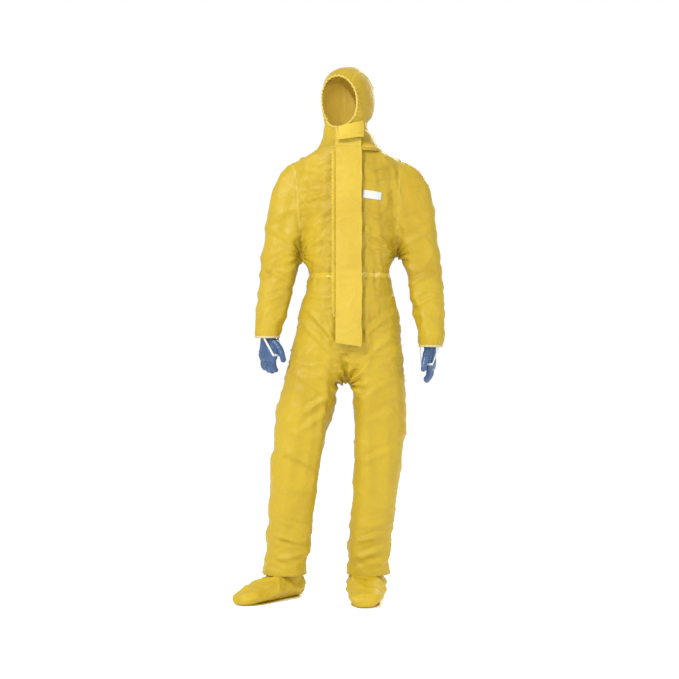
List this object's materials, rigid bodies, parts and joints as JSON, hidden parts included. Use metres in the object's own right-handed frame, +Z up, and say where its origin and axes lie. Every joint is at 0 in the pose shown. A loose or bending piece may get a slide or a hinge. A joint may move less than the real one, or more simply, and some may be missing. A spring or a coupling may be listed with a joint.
{
  "type": "chemical protective coverall",
  "caption": "Hooded one-piece chemical protective coverall with zip, storm flap, chin flap, elastic cuffs, integral socks and gloves, set in a standing pose.",
  "frame": {"origin": "on the floor, straight below the middle of the neck", "axes": "+Z up, the wearer faces -Y, the wearer's left is +X"},
  "size_m": [0.7235, 0.3719, 1.836],
  "materials": {
    "coverall": "satin coated nonwoven",
    "seam_tape": "satin bonded tape",
    "elastic": "matte knitted elastic",
    "zip_tape": "woven tape",
    "zip_plastic": "moulded",
    "zip_slider": "satin",
    "adhesive": "smooth film",
    "label": "matte card",
    "glove": "matte nitrile",
    "loop_elastic": "flat woven elastic",
    "sock_sole": "satin coated nonwoven"
  },
  "bodies": {
    "torso": {"front_panel_right": "coverall", "front_panel_left": "coverall", "back_panel": "coverall", "seat_and_crotch": "coverall", "collar": "coverall", "hood_neck": "coverall", "zip_guard": "coverall", "storm_flap_seam": "coverall", "armhole_seam_tape_right": "seam_tape", "armhole_seam_tape_left": "seam_tape", "side_seam_tape_right": "seam_tape", "side_seam_tape_left": "seam_tape", "neck_seam_tape": "seam_tape", "waist_elastic": "elastic", "zipper_tape_right": "zip_tape", "zipper_tape_left": "zip_tape", "zipper_chain": "zip_plastic", "zipper_stops": "zip_plastic", "flap_adhesive_landing": "adhesive", "chest_label": "label", "sleeve_head_right": "coverall", "sleeve_head_left": "coverall"},
    "hood": {"hood_centre_panel": "coverall", "hood_panel_right": "coverall", "hood_panel_left": "coverall", "face_elastic": "elastic"},
    "chin_flap_body": {"chin_flap": "coverall", "chin_flap_adhesive": "adhesive"},
    "storm_flap_body": {"storm_flap": "coverall", "storm_flap_adhesive": "adhesive"},
    "slider": {"zipper_slider": "zip_slider"},
    "pull": {"zipper_pull": "zip_slider"},
    "upper_arm_right": {"sleeve_upper_right": "coverall", "sleeve_elbow_right": "coverall"},
    "forearm_right": {"sleeve_forearm_right": "coverall", "cuff_elastic_right": "elastic", "glove_right": "glove", "thumb_loop_right": "loop_elastic"},
    "thigh_right": {"leg_thigh_right": "coverall", "leg_knee_right": "coverall"},
    "shin_right": {"leg_shin_right": "coverall", "boot_flap_right": "coverall", "sock_ankle_right": "coverall"},
    "foot_right": {"sock_foot_right": "coverall", "sole_right": "sock_sole"},
    "upper_arm_left": {"sleeve_upper_left": "coverall", "sleeve_elbow_left": "coverall"},
    "forearm_left": {"sleeve_forearm_left": "coverall", "cuff_elastic_left": "elastic", "glove_left": "glove", "thumb_loop_left": "loop_elastic"},
    "thigh_left": {"leg_thigh_left": "coverall", "leg_knee_left": "coverall"},
    "shin_left": {"leg_shin_left": "coverall", "boot_flap_left": "coverall", "sock_ankle_left": "coverall"},
    "foot_left": {"sock_foot_left": "coverall", "sole_left": "sock_sole"}
  },
  "joints": [
    {"name": "hood_turn", "type": "hinge", "parent": "torso", "child": "hood", "pos_m": [-0.006, -0.022, 1.64], "axis": [0, 0, 1], "range_deg": [-30, 50], "deforming": ["hood_neck"]},
    {"name": "chin_flap_fold", "type": "hinge", "parent": "hood", "child": "chin_flap_body", "pos_m": [0.049, -0.12094, 1.582], "axis": [0, 0.3473, 0.9378], "range_deg": [0, 120]},
    {"name": "storm_flap_fold", "type": "hinge", "parent": "torso", "child": "storm_flap_body", "pos_m": [-0.047, -0.14019, 0.88033], "axis": [0, 0.0362, 0.9993], "range_deg": [-160, 0]},
    {"name": "zip_slide", "type": "slide", "parent": "torso", "child": "slider", "axis": [0, -0.0362, -0.9993], "range_m": [0, 0.674]},
    {"name": "zip_pull_turn", "type": "hinge", "parent": "slider", "child": "pull", "pos_m": [0, -0.11038, 1.57371], "axis": [0, -0.9993, 0.0362], "range_deg": [-75, 75]},
    {"name": "shoulder_right", "type": "hinge", "parent": "torso", "child": "upper_arm_right", "pos_m": [-0.178, 0.012, 1.34], "axis": [-1, 0, 0], "range_deg": [-15, 40], "deforming": ["sleeve_head_right"]},
    {"name": "elbow_right", "type": "hinge", "parent": "upper_arm_right", "child": "forearm_right", "pos_m": [-0.244, 0.01, 1.11], "axis": [-1, 0, 0], "range_deg": [0, 90], "deforming": ["sleeve_elbow_right"]},
    {"name": "hip_right", "type": "hinge", "parent": "torso", "child": "thigh_right", "pos_m": [-0.1, -0.002, 0.9], "axis": [-1, 0, 0], "range_deg": [-10, 45], "deforming": ["seat_and_crotch"]},
    {"name": "knee_right", "type": "hinge", "parent": "thigh_right", "child": "shin_right", "pos_m": [-0.182, -0.008, 0.47], "axis": [1, 0, 0], "range_deg": [0, 80], "deforming": ["leg_knee_right"]},
    {"name": "ankle_right", "type": "hinge", "parent": "shin_right", "child": "foot_right", "pos_m": [-0.22, 0.006, 0.104], "axis": [-0.766, 0.6428, 0], "range_deg": [-15, 15], "deforming": ["sock_ankle_right", "boot_flap_right"]},
    {"name": "shoulder_left", "type": "hinge", "parent": "torso", "child": "upper_arm_left", "pos_m": [0.18, 0.012, 1.34], "axis": [-1, 0, 0], "range_deg": [-15, 40], "deforming": ["sleeve_head_left"]},
    {"name": "elbow_left", "type": "hinge", "parent": "upper_arm_left", "child": "forearm_left", "pos_m": [0.26, 0.01, 1.1], "axis": [-1, 0, 0], "range_deg": [0, 90], "deforming": ["sleeve_elbow_left"]},
    {"name": "hip_left", "type": "hinge", "parent": "torso", "child": "thigh_left", "pos_m": [0.09, -0.002, 0.9], "axis": [-1, 0, 0], "range_deg": [-10, 45], "deforming": ["seat_and_crotch"]},
    {"name": "knee_left", "type": "hinge", "parent": "thigh_left", "child": "shin_left", "pos_m": [0.097, -0.005, 0.47], "axis": [1, 0, 0], "range_deg": [0, 80], "deforming": ["leg_knee_left"]},
    {"name": "ankle_left", "type": "hinge", "parent": "shin_left", "child": "foot_left", "pos_m": [0.063, 0.01, 0.104], "axis": [-0.9986, 0.0523, 0], "range_deg": [-15, 15], "deforming": ["sock_ankle_left", "boot_flap_left"]}
  ]
}
